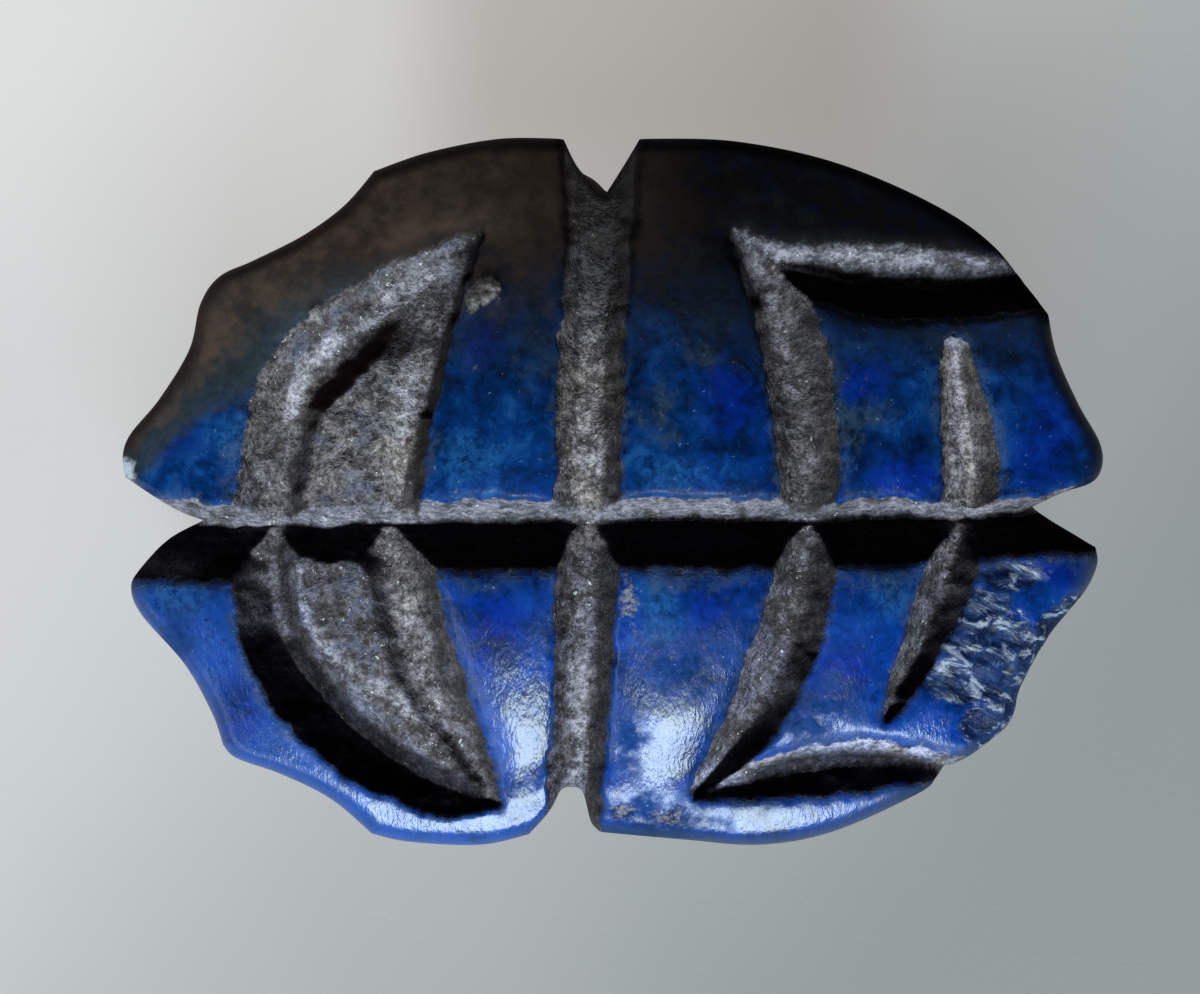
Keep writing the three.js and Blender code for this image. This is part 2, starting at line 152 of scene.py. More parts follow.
# %% Stations of the grooves: x, y, half width, depth
GROOVES = {
    "long": (0.42, 1.2, [(-9.6, -0.85, 1.1, 1.1), (-8.55, -0.9, 0.8, 1.1), (-6.7, -0.97, 0.75, 1.1),
                         (-4, -0.88, 0.7, 1.1), (-0.25, -0.82, 0.68, 1.15), (4.95, -0.78, 0.65, 1.15),
                         (7.2, -0.68, 0.55, 1.1), (9.4, -0.5, 0.7, 1.1)]),
    "cross_upper": (0, 2.6, [(-0.2, 7, 0.8, 1), (-0.2, 5.55, 0.68, 0.95), (-0.2, 4.6, 0.66, 0.9),
                             (-0.35, 3.1, 0.62, 0.9), (-0.45, 0.2, 0.62, 0.9), (-0.46, -0.6, 0.6, 0.95)]),
    "cross_lower": (0, 2.6, [(-0.46, -0.7, 0.6, 1.1), (-0.5, -2, 0.56, 1.05), (-0.55, -3.9, 0.52, 0.95),
                             (-0.7, -5.55, 0.5, 0.9), (-0.75, -7, 0.55, 0.9)]),
    "bow_upper": (-0.25, 2, [(2.4, 4.6, 0.28, 0.45), (2.8, 4, 0.5, 0.8), (3.2, 3, 0.6, 0.9),
                             (3.45, 1.7, 0.63, 0.9), (3.55, 0.75, 0.62, 0.9), (3.6, -0.5, 0.55, 0.95)]),
    "bow_lower": (0, 1.9, [(3.6, -0.7, 0.55, 1.1), (3.3, -2.4, 0.62, 1.05), (2.75, -3.8, 0.58, 0.95),
                           (2.25, -4.7, 0.45, 0.75), (1.6, -5.5, 0.2, 0.4)]),
    "channel_upper": (0, 1.25, [(2.5, 4.45, 0.25, 0.4), (3.3, 4.1, 0.55, 0.75), (4.4, 3.9, 0.76, 0.95),
                               (5.7, 3.8, 0.76, 0.95), (6.8, 3.8, 0.66, 0.85), (8.6, 3.85, 0.5, 0.7)]),
    "channel_lower": (0, 1.3, [(1.7, -5.55, 0.15, 0.2), (2.55, -5.35, 0.38, 0.5),
                               (3.65, -5.15, 0.52, 0.7), (4.6, -5.05, 0.52, 0.7), (5.5, -5.05, 0.4, 0.55),
                               (6.6, -5.2, 0.25, 0.35)]),
    "tail_upper": (0, 1.8, [(6.3, 2.5, 0.33, 0.6), (6.4, 1.7, 0.46, 0.8), (6.55, 0.75, 0.55, 0.85),
                            (6.55, -0.5, 0.52, 0.9)]),
    "tail_lower": (0, 1.7, [(6.45, -0.7, 0.5, 1.05), (6.05, -1.85, 0.5, 0.95), (5.7, -2.75, 0.4, 0.75),
                            (5.3, -3.6, 0.28, 0.5), (5.05, -4.1, 0.15, 0.25)]),
    "crescent_upper": (-0.3, 1.7, [(-6.3, -0.6, 0.72, 1), (-6.2, 0.2, 0.74, 1), (-5.87, 1.7, 0.76, 1),
                                   (-5.1, 2.6, 0.82, 1), (-4.25, 3.35, 0.76, 0.85),
                                   (-3.4, 4, 0.5, 0.7), (-2.5, 4.7, 0.12, 0.2)]),
    "crescent_lower": (0.1, 1.6, [(-6.3, -0.7, 0.68, 1.1), (-6.25, -2.4, 0.7, 1.15),
                                  (-5.6, -3.6, 0.76, 1.15), (-4.6, -4.6, 0.76, 1.1),
                                  (-3.4, -5.35, 0.52, 0.8), (-2.15, -5.75, 0.14, 0.25)]),
    "inner_upper": (-0.7, 1.8, [(-4.1, -0.4, 0.6, 0.95), (-4, 0.65, 0.63, 0.85), (-3.85, 1.7, 0.66, 0.85),
                                (-3.5, 2.8, 0.6, 0.8), (-3.1, 3.7, 0.4, 0.7), (-2.5, 4.65, 0.1, 0.2)]),
    "inner_lower": (-0.2, 2.1, [(-4, -0.8, 0.65, 1.05), (-3.8, -2.2, 0.74, 0.9), (-3.35, -3.5, 0.7, 0.85),
                                (-2.7, -4.7, 0.44, 0.7), (-2.15, -5.7, 0.12, 0.2)]),
    "bed_upper": (0, 5, [(-5.25, -0.6, 1.7, 0.45), (-4.85, 1.7, 1.6, 0.45), (-4.4, 2.4, 1.35, 0.5),
                         (-3.85, 3.2, 1, 0.95), (-3.3, 3.85, 0.65, 0.8), (-2.5, 4.65, 0.1, 0.15)]),
    "bed_lower": (0, 6, [(-5.25, -0.7, 1.7, 0.45), (-5.05, -2, 1.75, 0.45), (-4.65, -2.95, 1.65, 0.45),
                         (-3.85, -4.35, 1.3, 0.45), (-3.1, -5.3, 0.8, 0.4), (-2.15, -5.7, 0.1, 0.15)]),
}
ROUTE_STEPS = 8
LIP_ROUND = 0.1  # wear that rounds every lip
JOIN_ROUND = 0.08  # wear where two grooves meet
PILLOW = (0.16, 0.6)  # how far the blocks fall off beside a groove, and how far in that reaches
PILLOW_FADE = (0.72, 0.88)  # shares of the way out between which that fall-off ends
STRIAE = 0.005  # fine marks of the wheel along a groove


def smoothstep(value, start, end):
    part = np.clip((value - start) / (end - start), 0, 1)
    return part * part * (3 - 2 * part)


def soft_max(first, second, round_off):
    """The larger of two, with the corner between them rounded off."""
    return (first + second + np.sqrt((first - second) ** 2 + round_off**2)) / 2


def grain(x, y, z, size, octaves=3, seed=0.0):
    """Fractal noise of about -1 to 1 at each point, for lumps of that size."""
    points = np.stack([x, y, z], axis=-1) / size + seed
    return np.array([noise.fractal(point, 1.0, 2.0, octaves) for point in points.tolist()])


def groove_cut(name, x, y, wander):
    """Depth of one groove at each point, below zero outside the lips, and the way to its nearer lip."""
    lean, power, stations = GROOVES[name]
    places = np.linspace(0, len(stations) - 1, (len(stations) - 1) * ROUTE_STEPS + 1)
    route = curve_through([station[:2] for station in stations], places)
    sizes = np.array([station[2:] for station in stations])
    half, deep = (np.interp(places, np.arange(len(stations)), sizes[:, column]) for column in (0, 1))
    best = np.full(x.shape, np.inf)
    offset, depth, wide = np.zeros(x.shape), np.zeros(x.shape), np.zeros(x.shape)
    for start, end, half_from, half_to, deep_from, deep_to in zip(
        route, route[1:], half, half[1:], deep, deep[1:]
    ):
        along = end - start
        away_x, away_y = x - start[0], y - start[1]
        part = np.clip((away_x * along[0] + away_y * along[1]) / (along @ along), 0, 1)
        gap = np.hypot(away_x - part * along[0], away_y - part * along[1])
        side = np.sign(along[0] * away_y - along[1] * away_x)
        nearer = gap < best
        best = np.where(nearer, gap, best)
        width = half_from + (half_to - half_from) * part
        offset = np.where(nearer, (side * gap + wander) / width, offset)
        wide = np.where(nearer, width, wide)
        depth = np.where(nearer, deep_from + (deep_to - deep_from) * part, depth)
    side = np.where(offset > lean, (offset - lean) / (1 - lean), (lean - offset) / (1 + lean))
    marks = STRIAE * (np.sin(19 * offset + 3 * lean) + np.sin(31 * offset + power))
    cut = depth * (1 - np.abs(side) ** power) + marks * smoothstep(1 - np.abs(side), 0, 0.3)
    return cut, np.maximum(best - wide, 0)


print("grooves:", ", ".join(GROOVES))

# %% [markdown]
# ## The broken face and other small forms
# The lower right lobe has lost a flake. Lapis breaks in short splintery steps, so the scar is a shallow
# scoop with small ripples. Cut flakes would look sharp and regular, so the ripples are raised noise,
# stretched one way. A lump is left in the top notch, and crumbs of grit stick to the stone.

# %% Scar, lump and crumbs
SCARS = [(6.65, -2.1, 0.7, 0.5), (6.85, -2.8, 0.9, 0.7), (6.4, -3.5, 0.85, 0.55), (7.2, -3.6, 0.7, 0.7),
         (6.9, -4.3, 0.7, 0.5), (7.2, -1.6, 0.7, 0.3), (8.15, -2.5, 0.35, 0.45), (7.75, -3.0, 0.5, 0.5),
         (8.5, -2.05, 0.3, 0.3)]  # where the flake broke away: x, y, half sizes
SCAR_DEPTH = 0.12
SCAR_SLANT = -0.42  # the way its ridges run
LUMP = {"x": -0.35, "half": 0.3, "reach": 0.15, "height": 3.5, "tall": 1.4}
CRUMBS = [(-2.3, 3.64, 0.25), (-2.56, 3.46, 0.18), (-5.4, 3.2, 0.16)]  # x, y, half size
CRUMB_RISE = 0.13
print("ovals of the scar", len(SCARS), "crumbs", len(CRUMBS))

# %% [markdown]
# ## Where age and wear changed the stone, and where light and shade are painted
# Stains, crusts, dust and dirt lie on a few places only, and so do painted highlights and painted shade in
# the grooves. They could be painted by hand, but soft ovals and strokes on the plan are quick to place and
# easy to move. They become masks on the mesh, and only the finish reads them.

# %% Patches: x, y and half sizes of soft ovals
PATCHES = {
    # pale chalky crusts, the first on the worn left tip, where a white glint is also painted
    "crust": [(-8.95, 0.42, 0.3, 0.32), (0.3, -2.0, 0.24, 0.6), (1.0, -6.0, 0.4, 0.25),
              (0.2, -5.9, 0.3, 0.2), (5.75, -2.0, 0.25, 0.4)],
    # dull stains
    "stain": [(0.3, -4.6, 0.4, 0.8), (1.4, -3.2, 1.2, 0.9), (2.6, -4.0, 0.8, 1.1), (4.0, -3.9, 1.1, 0.6),
              (3.6, -4.3, 1.0, 0.4), (0.6, -6.15, 1.5, 0.8), (5.7, -5.4, 0.9, 0.4), (1.9, 3.4, 0.7, 0.5),
              (4.1, 1.25, 0.7, 0.6), (-2.3, -1.7, 0.7, 0.35), (5.2, -1.6, 0.6, 0.6), (-8.0, -2.7, 0.5, 1.0),
              (0.8, 1.5, 0.55, 0.8), (1.95, 3.1, 0.4, 0.5), (1.6, 2.5, 0.4, 0.35), (4.7, 1.35, 0.6, 0.3),
              (-1.5, 2.6, 0.5, 0.9)],
    # pure deep blue
    "royal": [(2.1, 1.6, 0.75, 0.85), (4.6, 2.0, 0.6, 0.5), (5.3, 0.25, 0.8, 0.45), (7.95, 0.9, 0.9, 1.2),
              (1.75, -2.1, 0.7, 0.8), (-2.2, -2.5, 0.6, 0.8), (4.25, -3.3, 0.6, 0.7),
              (8.2, -1.5, 0.7, 0.35), (-6.9, -4.0, 0.6, 0.8), (-2.3, 2.7, 0.5, 0.6),
              (-8.0, 0.9, 0.7, 0.4)],
    # paler, greener blue
    "azure": [(-7.9, -1.9, 0.7, 0.6), (0.9, -2.3, 0.5, 0.7), (5.1, -1.9, 0.6, 0.6), (-2.7, 0.6, 0.7, 0.6),
              (1.0, 0.3, 0.8, 0.4), (-7.0, 1.0, 0.5, 0.6)],
    # pale grit in the grooves
    "dust": [(6.45, 1.0, 0.6, 1.9), (-3.5, 2.3, 0.35, 0.8), (4.4, 4.3, 1.5, 0.4), (-0.4, 0.9, 0.4, 1.7),
             (-0.6, -4.0, 0.3, 1.4), (-3.95, 1.0, 0.35, 1.8), (-3.6, -2.6, 0.4, 1.3)],
    # where the painted black shade is lighter
    "thin": [(3.0, -3.5, 0.8, 1.1), (-5.9, -2.2, 0.6, 0.9), (-3.35, 2.5, 0.45, 0.6), (6.2, -2.1, 0.6, 1),
             (-8.1, -1.4, 0.9, 0.4), (-6.7, -2.1, 0.5, 0.8)],
}
LIGHTER_SHADE_SHARE = 0.55  # how much of the painted shade is taken away there
INNER_SHARE = 0.6  # and in the inner groove of the lower crescent
print("patches:", {name: len(ovals) for name, ovals in PATCHES.items()})

# %% Strokes: points of soft lines, and their half widths
LIT_CREST = [(-2.95, 4.2), (-3.3, 3.95), (-3.85, 3.6), (-4.45, 3.15), (-5.05, 2.75), (-5.6, 2.35), (-5.82, 1.9),
         (-5.92, 1.4)]  # a painted highlight, the whitest line, along the lit crest of the upper crescent
LIT_LINES = [[(-5.9, -1.1), (-5.75, -2.1), (-5.35, -2.75), (-4.7, -3.35), (-3.95, -3.85), (-3.2, -4.4)],
              [(6.25, 2.3), (6.3, 1.2), (6.38, 0.2)], [(2.5, 4.3), (2.85, 3.6), (3.1, 2.6), (3.2, 1.9)],
              [(1.6, -5.35), (2.6, -4.95), (3.4, -4.66), (4.2, -4.56), (5.2, -4.6), (6.0, -4.8)],
              [(-3.62, 2.8), (-3.75, 2), (-3.9, 0.9)]]  # other painted highlights along lit edges of grooves
LIT_LINE_SHARE = 0.85  # how white they are beside the crest
CREASE_SHADE = [(-2.5, 4.4), (-2.65, 3.7), (-2.93, 2.8), (-3.27, 1.7), (-3.62, 0.5),
          (-3.75, -0.2)]  # painted shade on the right edge of the upper crescent, whose wall faces away from the light
FLOOR_SHADE_LINES = [[(-5.9, -2.9), (-5.1, -3.95), (-4.2, -4.7), (-3.3, -5.2), (-2.5, -5.6)],
         [(3.5, 3.78), (4.4, 3.7), (5.7, 3.66), (6.8, 3.72), (8.3, 3.9)],
         [(2.7, -5.28), (3.4, -5.04), (4.2, -4.95), (5.1, -5.0), (5.8, -5.17)]]  # groove floors painted black as shade
LIT_CREST_HALF, CREASE_SHADE_HALF, FLOOR_SHADE_HALF = 0.2, 0.18, 0.24
print("strokes", 2 + len(LIT_LINES) + len(FLOOR_SHADE_LINES))


# %% Masks from patches and strokes
def patches_at(x, y, ovals):
    """1 in the middle of the nearest oval, 0 well outside all of them."""
    reach = [np.exp(-(((x - px) / wide) ** 2 + ((y - py) / tall) ** 2)) for px, py, wide, tall in ovals]
    return np.max(reach, axis=0)


def beside_line(x, y, points):
    """The way to a broken line from each point, above zero on the left of its direction."""
    best = np.full(x.shape, np.inf)
    for (from_x, from_y), (to_x, to_y) in zip(points, points[1:]):
        along_x, along_y, away_x, away_y = to_x - from_x, to_y - from_y, x - from_x, y - from_y
        part = np.clip((away_x * along_x + away_y * along_y) / (along_x**2 + along_y**2), 0, 1)
        gap = np.hypot(away_x - part * along_x, away_y - part * along_y)
        side = np.sign(along_x * away_y - along_y * away_x)
        best = np.where(gap < np.abs(best), side * gap, best)
    return best


def along_lines(x, y, lines, half):
    """1 on any of the broken lines, fading to 0 beside them."""
    return np.max([np.exp(-((beside_line(x, y, line) / half) ** 2)) for line in lines], axis=0)


def film_at(x, y):
    """0 on clean stone, 1 deep in the brown film of age that lies over the far flank."""
    middle = 2.9 - 0.00056 * np.maximum(-0.5 - x, 0) ** 4
    return np.clip((y - middle) / (4 - 2.6 * smoothstep(-x, 5, 8)) + 0.5, 0, 1)


# %% [markdown]
# ## The surface as a height
# The face never folds over, so it can be worked out as one height for every point seen from above:
# a dome, less the rounding at its shoulder, less the carving, plus roughness. The same numbers that
# shape the surface are kept as masks, and the finish reads them later to know where the dirt sits and
# where shade and light are painted.


# %% The plain oval under the scallops
def oval_reach(x, y):
    long, across, power = OVAL
    return (np.abs(x / long) ** power + np.abs(y / across) ** power) ** (1 / power)


def oval_beyond(points):
    """Points of the plain oval in the same directions from the centre."""
    near, far = np.zeros(len(points)), np.full(len(points), 2.0)
    for _ in range(24):
        middle = (near + far) / 2
        spot = CENTRE + (points - CENTRE) * middle[:, None]
        outside = oval_reach(spot[:, 0], spot[:, 1]) > 1
        near, far = np.where(outside, near, middle), np.where(outside, middle, far)
    return CENTRE + (points - CENTRE) * near[:, None]


print("reach of the edge against the oval:", np.round(oval_reach(*edge_points.T)[[0, ROUND // 2]], 2))


# %% The carving and its masks
def carve(x, y):
    """Depth of the carving at each point, and the masks that tell the finish what is where."""
    flat = np.zeros(x.shape)
    wander = 0.06 * grain(x, y, flat, 0.9, 3, 3.1) + 0.05 * grain(x, y, flat, 0.28, 3, 9.4)
    cuts = {name: groove_cut(name, x, y, wander) for name in GROOVES}
    deepest = np.full(x.shape, -9.0)
    for cut, _ in cuts.values():
        deepest = soft_max(deepest, cut, JOIN_ROUND)
    carved = soft_max(deepest, flat, LIP_ROUND) - LIP_ROUND / 4
    fall = PILLOW[0] * sum(np.exp(-4 * away / PILLOW[1]) for _, away in cuts.values()) ** 0.25
    beds = np.maximum(cuts["bed_upper"][0], cuts["bed_lower"][0])
    inside = smoothstep(carved, 0.05, 0.3)
    rib = smoothstep(beds, 0.1, 0.35) * (1 - smoothstep(carved, 0.5, 0.75))
    scar = smoothstep(patches_at(x, y, SCARS) + 0.3 * grain(x, y, flat, 0.5, 3, 6.6), 0.25, 0.85)
    crumb = np.min([np.hypot(x - px, y - py) / half for px, py, half in CRUMBS], axis=0)
    crumb = np.exp(-(np.maximum(crumb + 0.6 * grain(x, y, flat, 0.2, 3, 8.8), 0) ** 2))
    crest = beside_line(x, y, LIT_CREST)
    inner = smoothstep(cuts["inner_lower"][0] - cuts["crescent_lower"][0], -0.2, 0.2)
    masks = {name: patches_at(x, y, ovals) for name, ovals in PATCHES.items()}
    masks |= {"carved": carved, "near": np.clip(1 + deepest / 1.2, 0, 1), "rib": rib, "scar": scar,
              "crumb": crumb, "film": film_at(x, y), "inside": inside,
              "inner": inner * smoothstep(-y, 1.2, 1.6),
              "crest": np.maximum(along_lines(x, y, [LIT_CREST], LIT_CREST_HALF),
                                  LIT_LINE_SHARE * along_lines(x, y, LIT_LINES, LIT_CREST_HALF)),
              "gloom": along_lines(x, y, FLOOR_SHADE_LINES, FLOOR_SHADE_HALF),
              "crease": along_lines(x, y, [CREASE_SHADE], CREASE_SHADE_HALF),
              "slope": smoothstep(-crest, 0.1, 0.35) * smoothstep(-x, 2.2, 2.8) * smoothstep(y, 0.2, 1)}
    return fall, masks


# %% Height and roughness of the face
def face_height(x, y, out, reach_here, carved, fall):
    reach = np.minimum(oval_reach(x, y), 1.05)
    curved = np.minimum(reach, DOME_STRAIGHT) ** DOME_POWER
    straight = DOME_POWER * DOME_STRAIGHT ** (DOME_POWER - 1) * np.maximum(reach - DOME_STRAIGHT, 0)
    dome = (HEIGHT - SHOULDER) * (1 - curved - straight)
    over = np.clip(1 - (1 - out) * reach_here / SHOULDER_ROUND, 0, 1)
    round_off = SHOULDER_ROUND * (1 - np.sqrt(1 - over**2))
    return SHOULDER + dome - round_off - carved - fall * (1 - smoothstep(out, *PILLOW_FADE))


def roughness_height(x, y, masks, out):
    """Small unevenness: softly hand-polished blocks, gritty grooves, a rough rib and a rippled scar."""
    flat = np.zeros(x.shape)
    fade = 1 - smoothstep(out, 0.97, 1)
    polished = 0.016 * grain(x, y, flat, 1.6, 3, 1.7)
    gritty = 0.024 * grain(x, y, flat, 0.24, 3, 5.2) * masks["inside"]
    knobbly = 0.09 * grain(x, y, flat, 0.55, 3, 7.9) * masks["rib"]
    across = -x * math.sin(SCAR_SLANT) + y * math.cos(SCAR_SLANT)
    along = x * math.cos(SCAR_SLANT) + y * math.sin(SCAR_SLANT)
    ripples = 0.06 * grain(along / 2.6, across, flat, 0.26, 4, 2.3)
    ripples = (ripples + 0.04 * grain(along / 2, across, flat, 0.13)) * masks["scar"]
    crumbs = (CRUMB_RISE + 0.06 * grain(x, y, flat, 0.15, 2, 4.7)) * masks["crumb"]
    return fade * (polished + gritty + knobbly + ripples) + crumbs


# %% [markdown]
# ## The mesh
# A grid is drawn out to the scalloped edge: its square rings become rings of the stone, and its middle
# lines follow the two main grooves. A plain square grid would leave steps along the edge; drawn out,
# its border runs exactly through the notches and teeth.


# %% From grid to plan
def steps_round(u, v):
    """Steps round the border of the square grid from the middle of its right side."""
    up, along = CELLS_ACROSS / 2, CELLS_LONG / 2
    return np.select(
        [u >= 1, v >= 1, u <= -1],
        [v * up, up + (1 - u) * along, up + CELLS_LONG + (1 - v) * up],
        up + CELLS_LONG + CELLS_ACROSS + (1 + u) * along,
    )


def edge_at(steps):
    whole = np.floor(steps + 1e-6).astype(int)
    part = np.clip(steps - whole, 0, 1)[:, None]
    return edge_points[whole % ROUND] * (1 - part) + edge_points[(whole + 1) % ROUND] * part


def draw_out(u, v):
    """Plan positions of the grid's points, how far out each lies, and the stone's reach there."""
    out = np.maximum(np.abs(u), np.abs(v))
    scale = np.where(out > 1e-9, out, 1)
    unit_u, unit_v = np.round(u / scale, 9), np.round(v / scale, 9)
    edge = edge_at(steps_round(unit_u, unit_v))
    blend = smoothstep(out, 0.4, 1)[:, None]
    plain = oval_beyond(edge)
    place = CENTRE + (plain + (edge - plain) * blend - CENTRE) * out[:, None]
    return place, out, np.hypot(*(edge - CENTRE).T)


# %% Which walls get painted shade and which painted light
def soften(grid, turns):
    """Each point moves towards the mean of its neighbours, so small bumps fade and large forms stay."""
    for _ in range(turns):
        wide = np.pad(grid, 1, mode="edge")
        grid = grid / 2 + (wide[2:, 1:-1] + wide[:-2, 1:-1] + wide[1:-1, 2:] + wide[1:-1, :-2]) / 8
    return grid


def wear_masks(x, y, z):
    """Walls that face the far side (painted black shade), the left (painted brown shade) and the near side
    (painted light).
    """
    spots = np.stack([x, y, z]).reshape(3, CELLS_ACROSS + 1, CELLS_LONG + 1)
    spots[2] = soften(spots[2], 8)
    normal = np.cross(np.gradient(spots, axis=2), np.gradient(spots, axis=1), axis=0)
    normal = (normal / np.linalg.norm(normal, axis=0)).reshape(3, -1)
    turn = 0.6 * smoothstep(-x, 2.5, 5) * smoothstep(-y, 0.9, 1.5)
    far = normal[0] * np.sin(turn) + normal[1] * np.cos(turn)
    return smoothstep(far, 0.08, 0.55), smoothstep(-normal[0], 0.35, 0.9), smoothstep(-normal[1], 0.1, 0.75)


# %% Lay out the face
MASKS = (
    "carved", "near", "rib", "scar", "crumb", "film",  # the carving, the lips, and what lies on the face
    "lee", "brown", "rubbed", "rim",  # which way a wall faces, for painted shade and light, and the outermost band
    "crust", "stain", "dust", "royal", "azure",  # patches
    "crest", "crease", "slope", "gloom",  # strokes
)
stone = bmesh.new()
bmesh.ops.create_grid(stone, x_segments=CELLS_LONG, y_segments=CELLS_ACROSS, size=1)
layers = {name: stone.verts.layers.float.new(name) for name in MASKS}
stone.verts.ensure_lookup_table()
grid = np.array([vert.co for vert in stone.verts])
plan, out, reach_here = draw_out(grid[:, 0], grid[:, 1])
x, y = plan.T
fall, masks = carve(x, y)
z = face_height(x, y, out, reach_here, masks["carved"] + SCAR_DEPTH * masks["scar"], fall)
# painted black shade on walls facing away from the window, brown shade on walls facing left, painted light
# on walls facing the window
masks["lee"], masks["brown"], masks["rubbed"] = wear_masks(x, y, -masks["carved"])
# the painted shade is lighter in the inner groove of the lower crescent and in a few patches
masks["lee"] *= (1 - INNER_SHARE * masks["inner"]) * (1 - LIGHTER_SHADE_SHARE * masks["thin"])
masks["rim"] = smoothstep(out, 0.95, 0.99)
z += roughness_height(x, y, masks, out)
for vert, place in zip(stone.verts, np.column_stack([x, y, z])):
    vert.co = place
for name, layer in layers.items():
    for vert, value in zip(stone.verts, masks[name]):
        vert[layer] = value
print("face points", len(stone.verts), "height", round(float(z.max()), 3))

# %% [markdown]
# ## The wall and the underside
# The wall is extruded from the border of the face, ring by ring. It drops nearly upright, draws in, and
# turns under with a small rounding, while the scallops and notches fade. The last ring closes on one
# point, so the stone is one watertight skin.


# %% One ring of the wall
def wall_ring(down, top):
    """Places of the ring: down is 0 at the widest line and 1 at the underside."""
    plain = oval_beyond(edge_points)
    height = top * (1 - down)
    foot = 1 - np.clip(height / FOOT_HEIGHT, 0, 1)
    scale = 1 + (BASE_SCALE - 1) * down**WALL_BELLY - FOOT_TUCK * foot
    fade = NOTCH_FADE * smoothstep(down, 0.15, 1)
    place = CENTRE + (edge_points + (plain - edge_points) * fade - CENTRE) * scale[:, None]
    across = (place[:, 0] - LUMP["x"]) / LUMP["half"]
    rise = (height - LUMP["height"]) / LUMP["tall"]
    lump = LUMP["reach"] * np.exp(-(across**2) - rise**2) * smoothstep(down, 0, 0.2)
    place[:, 1] += np.where(place[:, 1] > 0, lump, 0)
    return np.column_stack([place, height])


# %% Extrude the wall and the underside
MASK_KEPT = 0.97  # share of each mask that the next ring of the wall keeps
SCAR_KEPT = 0.75  # and the scar's own, which fades sooner
WALL_UNEVEN = 0.035


def extrude_ring(border, step_of, places, keep):
    """Extrudes the border once, puts the new points on the next ring, and fades the masks by keep."""
    made = bmesh.ops.extrude_edge_only(stone, edges=border)["geom"]
    fresh = {}
    for vert in (item for item in made if isinstance(item, bmesh.types.BMVert)):
        above = next(edge.other_vert(vert) for edge in vert.link_edges if edge.other_vert(vert) in step_of)
        fresh[vert] = step_of[above]
        vert.co = places[step_of[above]]
        for name, layer in layers.items():
            vert[layer] *= keep * (SCAR_KEPT if name == "scar" else 1)
    return [item for item in made if isinstance(item, bmesh.types.BMEdge) and item.is_boundary], fresh


def unevenness(ring, strength):
    """The ring, pushed in and out a little along its directions from the centre."""
    away = ring[:, :2] - CENTRE
    away /= np.hypot(*away.T)[:, None]
    push = strength * grain(*ring.T, 1.1, 4, 4.4)
    return np.column_stack([ring[:, :2] + away * push[:, None], ring[:, 2]])


border = [edge for edge in stone.edges if edge.is_boundary]
steps = np.round(steps_round(*np.round(grid[:, :2], 6).T)).astype(int) % ROUND
step_of = {vert: steps[vert.index] for vert in stone.verts if vert.is_boundary}
top = np.zeros(ROUND)
for vert, step in step_of.items():
    top[step] = vert.co.z
for level in np.linspace(0, 1, WALL_RINGS + 1)[1:]:
    strength = WALL_UNEVEN * min(1, 4 * level, 6 * (1 - level))
    ring = unevenness(wall_ring(level, top), strength)
    border, step_of = extrude_ring(border, step_of, ring, MASK_KEPT)
for share in np.linspace(1, 0, BASE_RINGS + 1)[1:-1]:
    border, step_of = extrude_ring(border, step_of, ring * (share, share, 1), 0)
bmesh.ops.pointmerge(stone, verts=list(step_of), merge_co=(0, 0, 0))
bmesh.ops.recalc_face_normals(stone, faces=stone.faces)
for vert in stone.verts:
    vert[layers["film"]] = film_at(vert.co.x, vert.co.y)
print("faces", len(stone.faces), "open edges", sum(edge.is_boundary for edge in stone.edges))

# %% Stand it in the frame
middle = (edge_points.min(axis=0) + edge_points.max(axis=0)) / 2
offset = Vector(((low.x + high.x) / 2 - middle[0], (low.y + high.y) / 2 - middle[1], low.z))
bmesh.ops.translate(stone, verts=stone.verts, vec=offset)
bmesh.ops.scale(stone, verts=stone.verts, vec=(MM, MM, MM))
for face in stone.faces:
    face.smooth = True
mesh = bpy.data.meshes.new("scarab_body")
stone.to_mesh(mesh)
stone.free()
scarab = bpy.data.objects.new("scarab_body", mesh)
bpy.context.collection.objects.link(scarab)
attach(scarab, "root")
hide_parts("scarab_stone")
print("triangles", sum(len(face.vertices) - 2 for face in mesh.polygons))

# %% [markdown]
# ## Writing a finish as sums
# A finish is a tree of nodes, but its maths reads best as ordinary sums. `Tap` wraps one socket so that
# Python's own signs make the Math nodes, and `Bench.node` makes every other kind of node. The bench's
# shorter methods name what a finish does most: fade in, blend, read a cloud or a mask, lay a coat.


# %% Sockets that can be summed
class Tap:
    """One socket of a finish; sums of taps add their own Math nodes."""

    def __init__(self, bench, socket):
        self.bench, self.socket = bench, socket

    def __add__(self, other):
        return self.bench.maths("ADD", self, other)

    def __radd__(self, other):
        return self.bench.maths("ADD", other, self)

    def __sub__(self, other):
        return self.bench.maths("SUBTRACT", self, other)

    def __rsub__(self, other):
        return self.bench.maths("SUBTRACT", other, self)

    def __mul__(self, other):
        return self.bench.maths("MULTIPLY", self, other)

    def __rmul__(self, other):
        return self.bench.maths("MULTIPLY", other, self)


